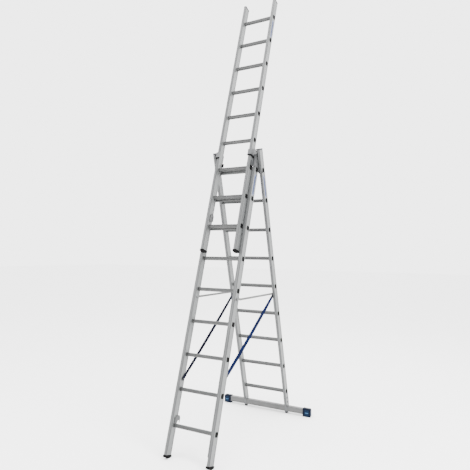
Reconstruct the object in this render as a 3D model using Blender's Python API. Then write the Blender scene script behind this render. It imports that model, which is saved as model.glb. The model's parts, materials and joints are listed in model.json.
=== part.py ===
"""Three-section combination ladder, standing as a stepladder with its extension raised.

World frame: +Z up, +X to the right of someone facing the climbing side, the front leg
towards -Y and the rear leg towards +Y, with the floor at Z = 0.

Each leg is modelled in its own frame, an empty on the hinge axis: local +Z runs up the
stiles and local +Y points to the back of the leg. Rung 1 is the lowest of each section.
"""
import math
from dataclasses import dataclass

import bmesh
import bpy
from mathutils import Matrix, Vector

# ---------------------------------------------------------------- driving dimensions, metres
PITCH = 0.280
RUNGS = 9
FRONT_LEAN = math.radians(17.0)
REAR_LEAN = math.radians(15.8)
HINGE_HEIGHT = 2.365
STRUT_HEIGHT = 1.236

STILE_DEPTH = 0.072
STILE_THICKNESS = 0.025
STILE_WALL = 0.0013
STILE_SET_FORWARD = 0.004
PANEL_RECESS = 0.0012
PANEL_HALF_DEPTH = 0.026

RUNG_DEPTH = 0.030
RUNG_HEIGHT = 0.030
RUNG_WALL = 0.0012
RUNG_CORNER = 0.009

GAP = 0.0003
TOP_CAP_HEIGHT = 0.012
FOOT_HEIGHT = 0.0230
FOOT_MARGIN = 0.003
SOLE_RADIUS = 0.110
SOLE_FLAT_DEPTH = 0.0015
PLUG_LENGTH = 0.028

EXTENSION_STEP = 0.058
EXTENSION_RAISED = 6 * PITCH

TRAVERSE_HALF_LENGTH = 0.484
TRAVERSE_BAR_HALF = 0.455
TRAVERSE_DEPTH = 0.044
TRAVERSE_HEIGHT = 0.052
TRAVERSE_TOP = 0.075
TRAVERSE_WALL = 0.0020
END_SHOE_LENGTH = 0.064
END_SHOE_DEPTH = 0.050
END_SHOE_TOP = 0.0785

SHEET = 0.003
PLATE = 0.004
HINGE_BOLT_RADIUS = 0.005
STUD_RADIUS = 0.004
RIVET_RADIUS = 0.0045
RUNNING_CLEARANCE = 0.0004

STRUT_THICKNESS = 0.0035
STRUT_HALF_WIDTH = 0.009
STRUT_INNER_X = 0.2127
STRUT_BEFORE_REAR_RUNGS = 0.028

STRAP_WIDTH = 0.022
STRAP_THICKNESS = 0.002


@dataclass
class Section:
    """One ladder section in its leg's frame: rung line, half width over the stiles, ends."""

    name: str
    half: float
    line_y: float
    top_rung_z: float
    top_z: float
    bottom_z: float

    @property
    def inner(self):
        return self.half - STILE_THICKNESS

    @property
    def stile_y(self):
        return self.line_y - STILE_SET_FORWARD

    def rung_z(self, number):
        return self.top_rung_z - (RUNGS - number) * PITCH


def front_z_at_height(local_y, height):
    """Local Z where a line along the front leg crosses a level height."""
    return (height - HINGE_HEIGHT + local_y * math.sin(FRONT_LEAN)) / math.cos(FRONT_LEAN)


def rear_z_at_height(local_y, height):
    """Local Z where a line along the rear leg crosses a level height."""
    return (height - HINGE_HEIGHT - local_y * math.sin(REAR_LEAN)) / math.cos(REAR_LEAN)


def front_reach(local_y, local_z):
    """Distance of a point on the front leg forward of the hinge axis."""
    return -(local_y * math.cos(FRONT_LEAN) + local_z * math.sin(FRONT_LEAN))


def rear_reach(local_y, local_z):
    """Distance of a point on the rear leg behind the hinge axis."""
    return local_y * math.cos(REAR_LEAN) - local_z * math.sin(REAR_LEAN)


FRONT_LINE_Y = -0.0475
FRONT_SOLE_CENTRE = front_z_at_height(
    FRONT_LINE_Y - STILE_SET_FORWARD, SOLE_RADIUS - SOLE_FLAT_DEPTH,
)
FRONT_BOTTOM = FRONT_SOLE_CENTRE - SOLE_RADIUS + FOOT_HEIGHT + GAP

FRONT = Section("front", 0.2095, FRONT_LINE_Y, -0.001, 0.128, FRONT_BOTTOM)
REAR = Section("rear", 0.2440, 0.0300, 0.013, 0.200, -2.480)
EXTENSION = Section("extension", 0.1760, 0.0, 0.0, 0.193, -2.461)

FOOT_HALF_DEPTH = STILE_DEPTH / 2 + FOOT_MARGIN
SOLE_RISE = SOLE_RADIUS - math.sqrt(SOLE_RADIUS ** 2 - FOOT_HALF_DEPTH ** 2)
FOOT_EDGE_Z = FRONT.bottom_z - GAP - FOOT_HEIGHT + SOLE_RISE
FOOT_REACH = front_reach(FRONT.stile_y - FOOT_HALF_DEPTH, FOOT_EDGE_Z)
TRAVERSE_REACH = rear_reach(REAR.stile_y, rear_z_at_height(REAR.stile_y, TRAVERSE_TOP))
HINGE_Y = (FOOT_REACH - TRAVERSE_REACH - END_SHOE_DEPTH / 2) / 2
TRAVERSE_Y = HINGE_Y + TRAVERSE_REACH


# ---------------------------------------------------------------- scene, collections, materials
def clear_scene():
    for old in list(bpy.data.objects):
        bpy.data.objects.remove(old, do_unlink=True)


def new_collection(name):
    collection = bpy.data.collections.new(name)
    bpy.context.scene.collection.children.link(collection)
    return collection


def principled(name, colour, roughness, metallic):
    material = bpy.data.materials.new(name)
    material.use_nodes = True
    shader = material.node_tree.nodes["Principled BSDF"]
    shader.inputs["Base Color"].default_value = (*colour, 1.0)
    shader.inputs["Roughness"].default_value = roughness
    shader.inputs["Metallic"].default_value = metallic
    return material


clear_scene()
PARTS = new_collection("combination_ladder")
TOOLS = new_collection("cutters_and_joiners")
ALUMINIUM = principled("aluminium", (0.66, 0.68, 0.70), 0.38, 0.9)
RUNG_ALUMINIUM = principled("rung_aluminium", (0.50, 0.51, 0.53), 0.45, 0.9)
STEEL = principled("zinc_steel", (0.55, 0.56, 0.58), 0.35, 1.0)
BLACK_PLASTIC = principled("black_plastic", (0.015, 0.015, 0.017), 0.5, 0.0)
BLUE_PLASTIC = principled("blue_plastic", (0.01, 0.05, 0.22), 0.4, 0.0)
WEBBING = principled("blue_webbing", (0.02, 0.06, 0.35), 0.8, 0.0)


def new_frame(name, location, tilt, parent=None):
    """An empty that carries the parts of one moving body."""
    frame = bpy.data.objects.new(name, None)
    frame.location = location
    frame.rotation_euler = (tilt, 0.0, 0.0)
    frame.parent = parent
    PARTS.objects.link(frame)
    return frame


def new_part(name, mesh, frame, material):
    part = bpy.data.objects.new(name, mesh)
    part.parent = frame
    part.data.materials.append(material)
    PARTS.objects.link(part)
    return part


def new_tool(name, mesh, frame):
    tool = bpy.data.objects.new(name, mesh)
    tool.parent = frame
    tool.hide_render = True
    tool.display_type = "WIRE"
    TOOLS.objects.link(tool)
    return tool


def combine(part, tool, operation):
    modifier = part.modifiers.new(tool.name, "BOOLEAN")
    modifier.operation = operation
    modifier.object = tool


# ---------------------------------------------------------------- shapes
def box_mesh(name, x_span, y_span, z_span):
    """A box between two values on each axis."""
    shape = bmesh.new()
    bmesh.ops.create_cube(shape, size=1.0)
    spans = (x_span, y_span, z_span)
    sizes = [max(span) - min(span) for span in spans]
    middle = [sum(span) / 2 for span in spans]
    bmesh.ops.scale(shape, vec=sizes, verts=shape.verts)
    bmesh.ops.translate(shape, vec=middle, verts=shape.verts)
    mesh = bpy.data.meshes.new(name)
    shape.to_mesh(mesh)
    shape.free()
    return mesh


def cylinder_mesh(name, radius, x_span, y, z, segments=16):
    """A cylinder along X."""
    shape = bmesh.new()
    length = max(x_span) - min(x_span)
    place = Matrix.Translation((sum(x_span) / 2, y, z)) @ Matrix.Rotation(math.pi / 2, 4, "Y")
    bmesh.ops.create_cone(
        shape, cap_ends=True, segments=segments, radius1=radius, radius2=radius,
        depth=length, matrix=place,
    )
    mesh = bpy.data.meshes.new(name)
    shape.to_mesh(mesh)
    shape.free()
    return mesh


def turned_mesh(name, profile, side, y, z, segments=16):
    """A solid turned about X from (x, radius) points that start and end on the axis."""
    shape = bmesh.new()
    points = [shape.verts.new((side * x, radius, 0.0)) for x, radius in profile]
    edges = [shape.edges.new(pair) for pair in zip(points, points[1:])]
    bmesh.ops.spin(
        shape, geom=points + edges, cent=(0, 0, 0), axis=(1, 0, 0),
        angle=2 * math.pi, steps=segments,
    )
    bmesh.ops.remove_doubles(shape, verts=shape.verts, dist=0.000001)
    bmesh.ops.recalc_face_normals(shape, faces=shape.faces)
    bmesh.ops.translate(shape, vec=(0, y, z), verts=shape.verts)
    mesh = bpy.data.meshes.new(name)
    shape.to_mesh(mesh)
    shape.free()
    return mesh


def rounded(corners, radius, steps=3):
    """An outline with each corner replaced by an arc; radius is one value or one each."""
    radii = radius if isinstance(radius, (list, tuple)) else [radius] * len(corners)
    outline = []
    count = len(corners)
    for index, (corner, size) in enumerate(zip(corners, radii)):
        here = Vector(corner)
        before = (Vector(corners[index - 1]) - here).normalized()
        after = (Vector(corners[(index + 1) % count]) - here).normalized()
        if size <= 0.0:
            outline.append(tuple(here))
            continue
        half_angle = before.angle(after) / 2
        centre = here + (before + after).normalized() * (size / math.sin(half_angle))
        start = here + before * (size / math.tan(half_angle)) - centre
        finish = here + after * (size / math.tan(half_angle)) - centre
        for step in range(steps + 1):
            spoke = start.lerp(finish, step / steps).normalized() * size
            outline.append(tuple(centre + spoke))
    return outline


def rectangle(half_width, half_height, centre=(0.0, 0.0)):
    cx, cy = centre
    return [
        (cx - half_width, cy - half_height), (cx + half_width, cy - half_height),
        (cx + half_width, cy + half_height), (cx - half_width, cy + half_height),
    ]


def circle(radius, centre, segments=16):
    turns = [2 * math.pi * step / segments for step in range(segments)]
    cx, cy = centre
    return [(cx + radius * math.cos(turn), cy + radius * math.sin(turn)) for turn in turns]


def outline_mesh(name, loops, thickness):
    """A flat outline, with holes where loops lie inside it, as thick as stated along Z."""
    curve = bpy.data.curves.new(name, "CURVE")
    curve.dimensions = "2D"
    curve.fill_mode = "BOTH"
    curve.extrude = thickness / 2
    for loop in loops:
        spline = curve.splines.new("POLY")
        spline.points.add(len(loop) - 1)
        for point, (u, v) in zip(spline.points, loop):
            point.co = (u, v, 0.0, 1.0)
        spline.use_cyclic_u = True
    holder = bpy.data.objects.new(name, curve)
    bpy.context.scene.collection.objects.link(holder)
    evaluated = holder.evaluated_get(bpy.context.evaluated_depsgraph_get())
    mesh = bpy.data.meshes.new_from_object(evaluated)
    bpy.data.objects.remove(holder, do_unlink=True)
    shape = bmesh.new()
    shape.from_mesh(mesh)
    bmesh.ops.remove_doubles(shape, verts=shape.verts, dist=0.000001)
    bmesh.ops.recalc_face_normals(shape, faces=shape.faces)
    shape.to_mesh(mesh)
    shape.free()
    mesh.name = name
    return mesh


# Turns an outline drawn as (y, z), with its thickness along Z, into a plate across X.
ACROSS_X = Matrix(((0, 0, 1, 0), (1, 0, 0, 0), (0, 1, 0, 0), (0, 0, 0, 1)))


def plate_mesh(name, loops, x_span):
    """A plate or bar whose outline is drawn as (y, z), between two X values."""
    mesh = outline_mesh(name, loops, max(x_span) - min(x_span))
    mesh.transform(Matrix.Translation((sum(x_span) / 2, 0, 0)) @ ACROSS_X)
    return mesh


def both_sides():
    return (("left", -1), ("right", 1))


# ---------------------------------------------------------------- stiles, rungs, end pieces
def stile_outline():
    """Outline of a box stile with a shallow recessed panel along both broad faces."""
    half_x = STILE_THICKNESS / 2
    half_y = STILE_DEPTH / 2
    panel_x = half_x - PANEL_RECESS
    lip = PANEL_HALF_DEPTH
    back = [
        (panel_x, lip), (half_x, lip + PANEL_RECESS), (half_x, half_y),
        (-half_x, half_y), (-half_x, lip + PANEL_RECESS), (-panel_x, lip),
    ]
    front = [(-x, -y) for x, y in back]
    radii = [0.0, 0.0, 0.003, 0.003, 0.0, 0.0]
    return rounded(back + front, radii + radii, 2)


def add_stiles(section, frame):
    """The two hollow stiles of a section; returns them by side name."""
    hole = rectangle(
        STILE_THICKNESS / 2 - PANEL_RECESS - STILE_WALL, STILE_DEPTH / 2 - STILE_WALL,
    )
    length = section.top_z - section.bottom_z
    middle_z = (section.top_z + section.bottom_z) / 2
    stiles = {}
    for side_name, side in both_sides():
        name = f"{section.name}_stile_{side_name}"
        mesh = outline_mesh(name, [stile_outline(), hole], length)
        middle_x = side * (section.half - STILE_THICKNESS / 2)
        mesh.transform(Matrix.Translation((middle_x, section.stile_y, middle_z)))
        stiles[side_name] = new_part(name, mesh, frame, ALUMINIUM)
    return stiles


def add_rungs(section, frame):
    """Nine hollow rungs between the stiles' inner faces."""
    reach = section.inner - GAP
    for number in range(1, RUNGS + 1):
        centre = (section.line_y, section.rung_z(number))
        outside = rectangle(RUNG_DEPTH / 2, RUNG_HEIGHT / 2, centre)
        inside = rectangle(RUNG_DEPTH / 2 - RUNG_WALL, RUNG_HEIGHT / 2 - RUNG_WALL, centre)
        name = f"{section.name}_rung_{number}"
        loops = [rounded(outside, RUNG_CORNER), rounded(inside, RUNG_CORNER - RUNG_WALL)]
        new_part(name, plate_mesh(name, loops, (-reach, reach)), frame, RUNG_ALUMINIUM)


def stile_plug(name, section, side, z_span, frame):
    """The tongue of an end piece that sits inside a hollow stile."""
    half_x = STILE_THICKNESS / 2 - PANEL_RECESS - STILE_WALL - GAP
    half_y = STILE_DEPTH / 2 - STILE_WALL - GAP
    x = side * (section.half - STILE_THICKNESS / 2)
    y = section.stile_y
    spans = ((x - half_x, x + half_x), (y - half_y, y + half_y), z_span)
    return new_tool(name, box_mesh(name, *spans), frame)


def add_top_caps(section, frame):
    """Plastic caps plugged into the stiles' upper ends."""
    half_y = STILE_DEPTH / 2
    y_span = (section.stile_y - half_y, section.stile_y + half_y)
    low = section.top_z + GAP
    for side_name, side in both_sides():
        name = f"{section.name}_top_cap_{side_name}"
        x_span = (side * section.inner, side * section.half)
        mesh = box_mesh(name, x_span, y_span, (low, low + TOP_CAP_HEIGHT))
        cap = new_part(name, mesh, frame, BLACK_PLASTIC)
        tongue_span = (section.top_z - PLUG_LENGTH, low + TOP_CAP_HEIGHT / 2)
        combine(cap, stile_plug(name + "_tongue", section, side, tongue_span, frame), "UNION")


def foot_outline(section):
    """A shallow foot with a curved sole, drawn as (y, z)."""
    high = section.bottom_z - GAP
    centre_z = high - FOOT_HEIGHT + SOLE_RADIUS
    half_arc = math.asin(FOOT_HALF_DEPTH / SOLE_RADIUS)
    steps = 12
    turns = [half_arc * (2 * step / steps - 1) for step in range(steps + 1)]
    sole = [
        (section.stile_y + SOLE_RADIUS * math.sin(turn), centre_z - SOLE_RADIUS * math.cos(turn))
        for turn in turns
    ]
    back = section.stile_y + FOOT_HALF_DEPTH
    front = section.stile_y - FOOT_HALF_DEPTH
    return sole + [(back, high), (front, high)]


def add_feet(section, frame, floor_tool=None):
    """Plastic feet plugged into the stiles' lower ends; a floor tool levels their soles."""
    outside = section.half + FOOT_MARGIN
    inside = section.inner - FOOT_MARGIN
    for side_name, side in both_sides():
        name = f"{section.name}_foot_{side_name}"
        mesh = plate_mesh(name, [foot_outline(section)], (side * inside, side * outside))
        foot = new_part(name, mesh, frame, BLACK_PLASTIC)
        tongue_span = (section.bottom_z - FOOT_HEIGHT / 3, section.bottom_z + PLUG_LENGTH)
        combine(foot, stile_plug(name + "_tongue", section, side, tongue_span, frame), "UNION")
        if floor_tool:
            combine(foot, floor_tool, "DIFFERENCE")


# ---------------------------------------------------------------- head of the front leg
def add_guide_brackets(frame):
    """J-shaped plates, slotted above a cheek, that guide the extension's stiles."""
    outer_x = FRONT.inner - GAP
    inner_x = outer_x - SHEET
    line = FRONT.line_y
    extension_front = line - EXTENSION_STEP - STILE_SET_FORWARD - STILE_DEPTH / 2
    flange_back = extension_front - 0.003
    web_front = flange_back - SHEET
    web_back = FRONT.stile_y + STILE_DEPTH / 2 - 0.002
    step_y = FRONT.stile_y - STILE_DEPTH / 2 - 0.002
    slot_back = step_y + 0.004
    cheek_front = flange_back + 0.026
    outline = [
        (web_front, 0.112), (slot_back, 0.112), (slot_back, 0.096), (cheek_front, 0.066),
        (cheek_front, 0.020), (slot_back, 0.024), (web_back, 0.029),
        (web_back, 0.192), (step_y, 0.196), (web_front, 0.166),
    ]
    for side_name, side in both_sides():
        name = f"guide_bracket_{side_name}"
        x_span = (side * inner_x, side * outer_x)
        bracket = new_part(name, plate_mesh(name, [outline], x_span), frame, STEEL)
        flange = box_mesh(
            name + "_flange", (side * 0.146, side * outer_x), (web_front, flange_back),
            (0.1125, 0.1655),
        )
        combine(bracket, new_tool(name + "_flange", flange, frame), "UNION")


def add_hinge_plates(frame):
    """Angle plates around the front stiles' outer edges; rear lobes carry the hinge bolts."""
    flange_back = FRONT.stile_y - STILE_DEPTH / 2 - GAP
    front_y = flange_back - PLATE
    lobe = 0.013
    lobe_turns = [math.radians(angle) for angle in range(60, -211, -30)]
    lobe_arc = [(lobe * math.cos(turn), lobe * math.sin(turn)) for turn in lobe_turns]
    plate = [
        (front_y, 0.020), (front_y, 0.093), (-0.020, 0.098), (-0.0135, 0.091), (-0.0075, 0.030),
    ]
    outline = plate + lobe_arc + [(-0.028, 0.020)]
    hole = circle(HINGE_BOLT_RADIUS + RUNNING_CLEARANCE, (0.0, 0.0))
    low_x = FRONT.half + GAP
    for side_name, side in both_sides():
        name = f"hinge_plate_{side_name}"
        mesh = plate_mesh(name, [outline, hole], (side * low_x, side * (low_x + PLATE)))
        hinge_plate = new_part(name, mesh, frame, STEEL)
        x_span = (side * (FRONT.inner + 0.001), side * (low_x + PLATE / 2))
        flange = box_mesh(name + "_flange", x_span, (front_y, flange_back), (0.0205, 0.0925))
        combine(hinge_plate, new_tool(name + "_flange", flange, frame), "UNION")


def add_hinge_bolts(frame, stiles):
    """Bolts through the hinge plates and the rear stiles, on the hinge axis."""
    plate_in = FRONT.half + GAP
    plate_out = plate_in + PLATE
    shank = HINGE_BOLT_RADIUS
    profile = [
        (plate_in - 0.0040, 0.0), (plate_in - 0.0040, 0.0065), (plate_in - 0.0030, 0.0085),
        (plate_in - GAP, 0.0085), (plate_in - GAP, shank), (plate_out + GAP, shank),
        (plate_out + GAP, 0.0080), (REAR.inner - GAP, 0.0080), (REAR.inner - GAP, shank),
        (REAR.half + GAP, shank), (REAR.half + GAP, 0.0090), (REAR.half + 0.0028, 0.0090),
        (REAR.half + 0.0040, 0.0070), (REAR.half + 0.0040, 0.0),
    ]
    hole = shank + RUNNING_CLEARANCE
    for side_name, side in both_sides():
        name = f"hinge_bolt_{side_name}"
        new_part(name, turned_mesh(name, profile, side, 0.0, 0.0), frame, STEEL)
        x_span = (side * (REAR.inner - 0.01), side * (REAR.half + 0.01))
        drill = new_tool(name + "_drill", cylinder_mesh(name, hole, x_span, 0.0, 0.0), frame)
        combine(stiles[side_name], drill, "DIFFERENCE")


# ---------------------------------------------------------------- hooks above the lowest rungs
def hook_plate(name, section, outline, side, frame):
    """A flat hook on a stile's inner face; its outline is drawn from the lowest rung's axis."""
    lowest = section.rung_z(1)
    placed = [(section.line_y + y, lowest + z) for y, z in outline]
    outer_x = section.inner - GAP
    mesh = plate_mesh(name, [placed], (side * (outer_x - PLATE), side * outer_x))
    new_part(name, mesh, frame, STEEL)


def add_hooks(front_frame, extension_frame):
    front_hook = rounded(
        [
            (-0.012, 0.019), (-0.012, 0.058), (0.012, 0.077), (0.0605, 0.077),
            (0.0605, 0.018), (0.0535, 0.018), (0.0535, 0.038), (0.0320, 0.038),
            (0.0270, 0.019),
        ],
        [0.004, 0.010, 0.018, 0.024, 0.003, 0.003, 0.009, 0.009, 0.004],
    )
    extension_hook = rounded(
        [
            (-0.014, 0.044), (-0.014, 0.108), (0.006, 0.124), (0.030, 0.124),
            (0.041, 0.108), (0.041, 0.058), (0.032, 0.058), (0.030, 0.094),
            (0.016, 0.094), (0.014, 0.044),
        ],
        [0.004, 0.008, 0.008, 0.008, 0.008, 0.003, 0.003, 0.004, 0.004, 0.004],
    )
    for side_name, side in both_sides():
        hook_plate(f"front_hook_{side_name}", FRONT, front_hook, side, front_frame)
        hook_plate(f"extension_hook_{side_name}", EXTENSION, extension_hook, side, extension_frame)


# ---------------------------------------------------------------- spreader struts and straps
STUD_Y = FRONT.stile_y
STUD_Z = front_z_at_height(STUD_Y, STRUT_HEIGHT)
STRUT_PIVOT_Y = REAR.line_y - STRUT_BEFORE_REAR_RUNGS
STRUT_PIVOT_Z = rear_z_at_height(STRUT_PIVOT_Y, STRUT_HEIGHT)
STRUT_LENGTH = front_reach(STUD_Y, STUD_Z) + rear_reach(STRUT_PIVOT_Y, STRUT_PIVOT_Z)


def add_strut_studs(frame, stiles):
    """Bolts through the front stiles that the struts' notches rest on."""
    inner = FRONT.inner
    profile = [
        (inner - 0.0050, 0.0), (inner - 0.0050, 0.0055), (inner - 0.0035, 0.0075),
        (inner - GAP, 0.0075), (inner - GAP, 0.0035), (FRONT.half + GAP, 0.0035),
        (FRONT.half + GAP, STUD_RADIUS), (0.2166, STUD_RADIUS), (0.2166, 0.0070),
        (0.2182, 0.0070), (0.2182, 0.0),
    ]
    for side_name, side in both_sides():
        name = f"strut_stud_{side_name}"
        new_part(name, turned_mesh(name, profile, side, STUD_Y, STUD_Z), frame, STEEL)
        x_span = (side * (inner - 0.01), side * (FRONT.half + 0.01))
        hole = 0.0035 + RUNNING_CLEARANCE
        mesh = cylinder_mesh(name, hole, x_span, STUD_Y, STUD_Z)
        combine(stiles[side_name], new_tool(name + "_drill", mesh, frame), "DIFFERENCE")


def strut_outline():
    """A flat bar from its pivot at the origin to a notch over the stud, drawn as (y, z)."""
    low = -STRUT_HALF_WIDTH
    high = STRUT_HALF_WIDTH
    stud = -STRUT_LENGTH
    wall = stud - STUD_RADIUS - 0.0006
    roof = STUD_RADIUS + 0.0006
    corners = [
        (0.010, low), (0.010, high), (stud + 0.070, high), (stud + 0.045, 0.0125),
        (wall - 0.010, 0.0125), (wall - 0.010, low), (wall, low), (wall, roof),
        (stud + 0.003, roof), (stud + 0.045, low),
    ]
    radii = [0.008, 0.008, 0.010, 0.010, 0.006, 0.004, 0.001, 0.0, 0.0, 0.003]
    return rounded(corners, radii)


def add_struts(rear_frame, stiles):
    """Spreader struts that turn on rivets in the rear stiles and hook onto the studs."""
    outer_x = STRUT_INNER_X + STRUT_THICKNESS
    shank_end = REAR.inner + PANEL_RECESS + STILE_WALL + 0.002
    rivet = [
        (STRUT_INNER_X - 0.002, 0.0), (STRUT_INNER_X - 0.002, 0.007),
        (STRUT_INNER_X + 0.001, 0.008), (STRUT_INNER_X + 0.001, RIVET_RADIUS),
        (shank_end, RIVET_RADIUS), (shank_end, 0.0),
    ]
    hole = RIVET_RADIUS + RUNNING_CLEARANCE
    for side_name, side in both_sides():
        name = f"spreader_strut_{side_name}"
        place = (0.0, STRUT_PIVOT_Y, STRUT_PIVOT_Z)
        frame = new_frame(name + "_pivot", place, -REAR_LEAN, rear_frame)
        mesh = plate_mesh(name, [strut_outline()], (side * STRUT_INNER_X, side * outer_x))
        strut = new_part(name, mesh, frame, ALUMINIUM)
        pin = turned_mesh(name + "_rivet", rivet, side, 0.0, 0.0)
        combine(strut, new_tool(name + "_rivet", pin, frame), "UNION")
        x_span = (side * (REAR.inner - 0.005), side * (REAR.inner + 0.010))
        drill = cylinder_mesh(name + "_drill", hole, x_span, STRUT_PIVOT_Y, STRUT_PIVOT_Z)
        combine(stiles[side_name], new_tool(name + "_drill", drill, rear_frame), "DIFFERENCE")


def front_point(x, local_y, local_z):
    """World place of a point given in the front leg's frame."""
    tilt = Matrix.Rotation(-FRONT_LEAN, 4, "X")
    return Vector((0, HINGE_Y, HINGE_HEIGHT)) + tilt @ Vector((x, local_y, local_z))


def rear_point(x, local_y, local_z):
    """World place of a point given in the rear leg's frame."""
    tilt = Matrix.Rotation(REAR_LEAN, 4, "X")
    return Vector((0, HINGE_Y, HINGE_HEIGHT)) + tilt @ Vector((x, local_y, local_z))


def add_straps():
    """Flat webbing straps from the rear stiles down to the front stiles' inner faces."""
    for side_name, side in both_sides():
        upper = rear_point(side * 0.2085, REAR.line_y - 0.040, REAR.top_rung_z - 1.210)
        lower = front_point(side * 0.1805, FRONT.stile_y, FRONT.top_rung_z - 1.885)
        run = lower - upper
        length = run.length
        along = run.normalized()
        thin = Vector((1, 0, 0))
        thin = (thin - along * thin.dot(along)).normalized()
        wide = along.cross(thin)
        name = f"spreader_strap_{side_name}"
        half_thin = STRAP_THICKNESS / 2
        half_wide = STRAP_WIDTH / 2
        mesh = box_mesh(name, (-half_thin, half_thin), (-half_wide, half_wide), (0.0, length))
        turn = Matrix((thin, wide, thin.cross(wide))).transposed().to_4x4()
        start = upper if thin.cross(wide).dot(along) > 0 else lower
        mesh.transform(Matrix.Translation(start) @ turn)
        new_part(name, mesh, None, WEBBING)


# ---------------------------------------------------------------- traverse under the rear leg
def add_traverse():
    """A wide hollow bar under the rear stiles, with a plastic shoe on each end."""
    middle_z = TRAVERSE_TOP - TRAVERSE_HEIGHT / 2
    centre = (TRAVERSE_Y, middle_z)
    outside = rectangle(TRAVERSE_DEPTH / 2, TRAVERSE_HEIGHT / 2, centre)
    inside = rectangle(
        TRAVERSE_DEPTH / 2 - TRAVERSE_WALL, TRAVERSE_HEIGHT / 2 - TRAVERSE_WALL, centre,
    )
    span = (-TRAVERSE_BAR_HALF, TRAVERSE_BAR_HALF)
    mesh = plate_mesh("traverse_bar", [rounded(outside, 0.003, 2), inside], span)
    new_part("traverse_bar", mesh, None, ALUMINIUM)
    shoe_y = (TRAVERSE_Y - END_SHOE_DEPTH / 2, TRAVERSE_Y + END_SHOE_DEPTH / 2)
    shoe_inner = TRAVERSE_HALF_LENGTH - END_SHOE_LENGTH
    for side_name, side in both_sides():
        name = f"traverse_shoe_{side_name}"
        x_span = (side * shoe_inner, side * TRAVERSE_HALF_LENGTH)
        mesh = box_mesh(name, x_span, shoe_y, (0.0, END_SHOE_TOP))
        shoe = new_part(name, mesh, None, BLUE_PLASTIC)
        pocket = box_mesh(
            name + "_pocket", (side * (shoe_inner - 0.01), side * (TRAVERSE_BAR_HALF + GAP)),
            (TRAVERSE_Y - TRAVERSE_DEPTH / 2 - GAP, TRAVERSE_Y + TRAVERSE_DEPTH / 2 + GAP),
            (middle_z - TRAVERSE_HEIGHT / 2 - GAP, middle_z + TRAVERSE_HEIGHT / 2 + GAP),
        )
        combine(shoe, new_tool(name + "_pocket", pocket, None), "DIFFERENCE")


def level_cutter(name, height):
    """A slab that removes everything below a height."""
    return new_tool(name, box_mesh(name, (-1, 1), (-2, 2), (height - 1.0, height)), None)


# ---------------------------------------------------------------- assembly
def build_front_leg():
    frame = new_frame("front_leg_frame", (0, HINGE_Y, HINGE_HEIGHT), -FRONT_LEAN)
    stiles = add_stiles(FRONT, frame)
    add_rungs(FRONT, frame)
    add_top_caps(FRONT, frame)
    add_feet(FRONT, frame, level_cutter("floor_level", 0.0))
    add_guide_brackets(frame)
    add_hinge_plates(frame)
    add_strut_studs(frame, stiles)
    return frame


def build_extension(front_frame):
    place = (0, FRONT.line_y - EXTENSION_STEP, FRONT.top_rung_z + EXTENSION_RAISED)
    frame = new_frame("extension_frame", place, 0.0, front_frame)
    add_stiles(EXTENSION, frame)
    add_rungs(EXTENSION, frame)
    add_top_caps(EXTENSION, frame)
    add_feet(EXTENSION, frame)
    return frame


def build_rear_leg():
    frame = new_frame("rear_leg_frame", (0, HINGE_Y, HINGE_HEIGHT), REAR_LEAN)
    stiles = add_stiles(REAR, frame)
    add_rungs(REAR, frame)
    add_hinge_bolts(frame, stiles)
    add_struts(frame, stiles)
    traverse_level = level_cutter("traverse_level", TRAVERSE_TOP + GAP)
    for stile in stiles.values():
        combine(stile, traverse_level, "DIFFERENCE")
    return frame


def build():
    front_frame = build_front_leg()
    extension_frame = build_extension(front_frame)
    add_hooks(front_frame, extension_frame)
    build_rear_leg()
    add_straps()
    add_traverse()


build()
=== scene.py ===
"""Looks of the combination ladder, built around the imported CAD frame."""
import json
import math

import bmesh
import bpy
from mathutils import Matrix, Vector

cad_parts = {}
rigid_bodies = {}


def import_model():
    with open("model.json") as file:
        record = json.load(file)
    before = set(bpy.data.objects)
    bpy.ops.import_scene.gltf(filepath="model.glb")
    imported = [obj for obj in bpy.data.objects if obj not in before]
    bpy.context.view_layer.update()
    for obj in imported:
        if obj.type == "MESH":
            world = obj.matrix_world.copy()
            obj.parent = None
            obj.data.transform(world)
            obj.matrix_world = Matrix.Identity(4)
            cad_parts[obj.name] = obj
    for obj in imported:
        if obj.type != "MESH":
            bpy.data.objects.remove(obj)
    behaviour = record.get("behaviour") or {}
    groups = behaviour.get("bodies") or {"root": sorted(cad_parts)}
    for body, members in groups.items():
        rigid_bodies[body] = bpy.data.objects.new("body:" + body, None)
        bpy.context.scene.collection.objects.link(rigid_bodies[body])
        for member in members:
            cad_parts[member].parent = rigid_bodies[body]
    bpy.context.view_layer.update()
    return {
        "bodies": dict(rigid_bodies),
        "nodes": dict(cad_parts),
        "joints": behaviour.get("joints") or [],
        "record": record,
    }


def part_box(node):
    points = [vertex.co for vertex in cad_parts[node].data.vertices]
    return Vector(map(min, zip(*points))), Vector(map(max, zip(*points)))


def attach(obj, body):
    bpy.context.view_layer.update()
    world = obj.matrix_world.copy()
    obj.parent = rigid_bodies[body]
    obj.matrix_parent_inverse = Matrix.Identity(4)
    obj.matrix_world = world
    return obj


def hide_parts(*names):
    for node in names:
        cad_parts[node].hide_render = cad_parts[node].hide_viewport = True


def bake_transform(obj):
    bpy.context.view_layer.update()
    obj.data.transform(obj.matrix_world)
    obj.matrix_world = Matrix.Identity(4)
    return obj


# ---------------------------------------------------------------- dimensions of the CAD frame, metres
PITCH = 0.280
RUNGS = 9
HINGE = (0.0, 0.05554, 2.365)
FRONT_LEAN = math.radians(17.0)
REAR_LEAN = math.radians(15.8)
STILE_DEPTH = 0.072
STILE_THICKNESS = 0.025
PANEL_RECESS = 0.0012
STILE_SET_FORWARD = 0.004

FRONT_FRAME = Matrix.Translation(HINGE) @ Matrix.Rotation(-FRONT_LEAN, 4, "X")
REAR_FRAME = Matrix.Translation(HINGE) @ Matrix.Rotation(REAR_LEAN, 4, "X")


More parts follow.
